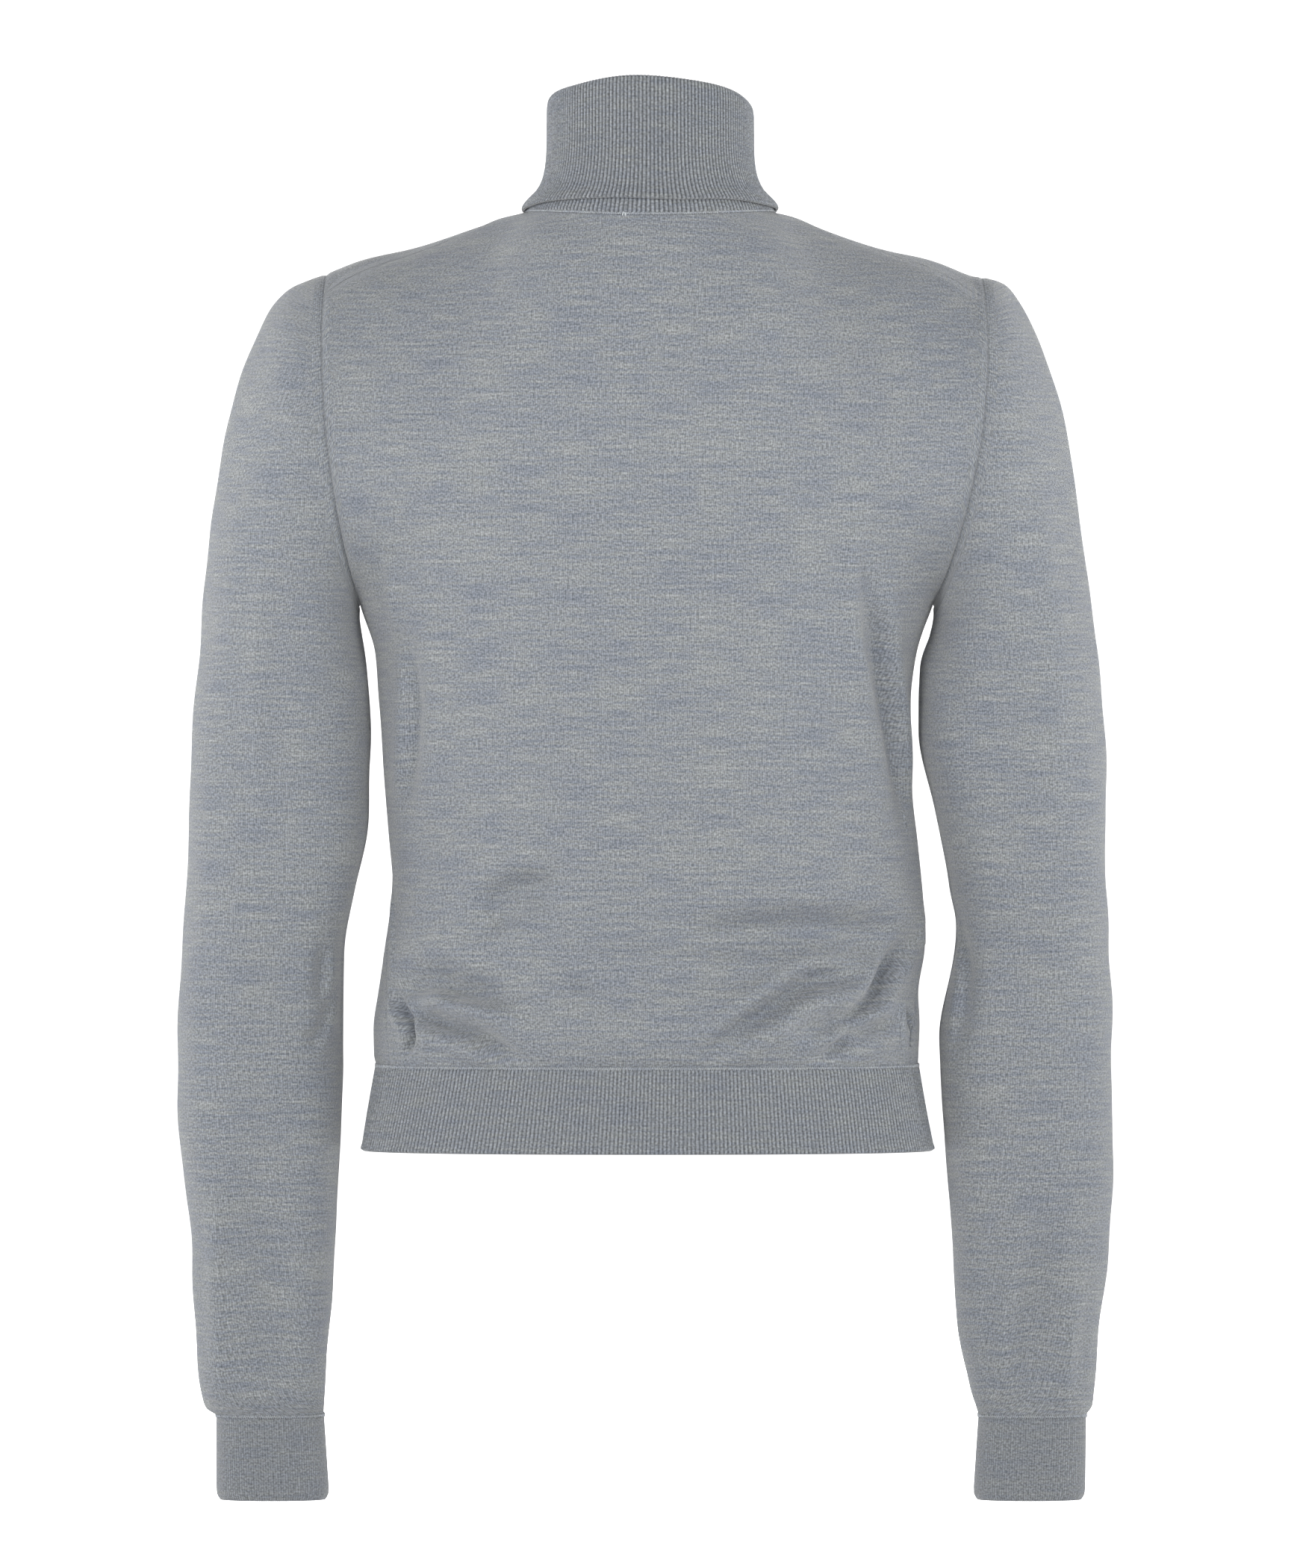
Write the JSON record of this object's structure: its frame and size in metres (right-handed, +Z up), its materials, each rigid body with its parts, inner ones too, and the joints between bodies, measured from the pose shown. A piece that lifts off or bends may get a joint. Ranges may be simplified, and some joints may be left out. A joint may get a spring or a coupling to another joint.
{
  "type": "turtleneck sweater",
  "caption": "Hollow fine-knit turtleneck sweater, filled out as worn, with a folded rib collar, set-in sleeves that hang, rib cuffs and a rib band at the hem.",
  "frame": {"origin": "the middle of the neck, at the height of the neck seam, where the wearer's shoulders hold the sweater up", "axes": "+Z up; the front faces -Y; the wearer's left is +X"},
  "size_m": [0.5144, 0.2145, 0.7787],
  "materials": {
    "jersey": "matt heathered grey-blue fine plain knit",
    "rib": "matt heathered grey-blue rib knit, a little darker"
  },
  "bodies": {
    "root": {"back": "jersey", "front": "jersey", "sleeve_left": "jersey", "sleeve_right": "jersey", "collar": "rib", "band_back": "rib", "band_front": "rib", "cuff_left": "rib", "cuff_right": "rib"}
  },
  "joints": []
}
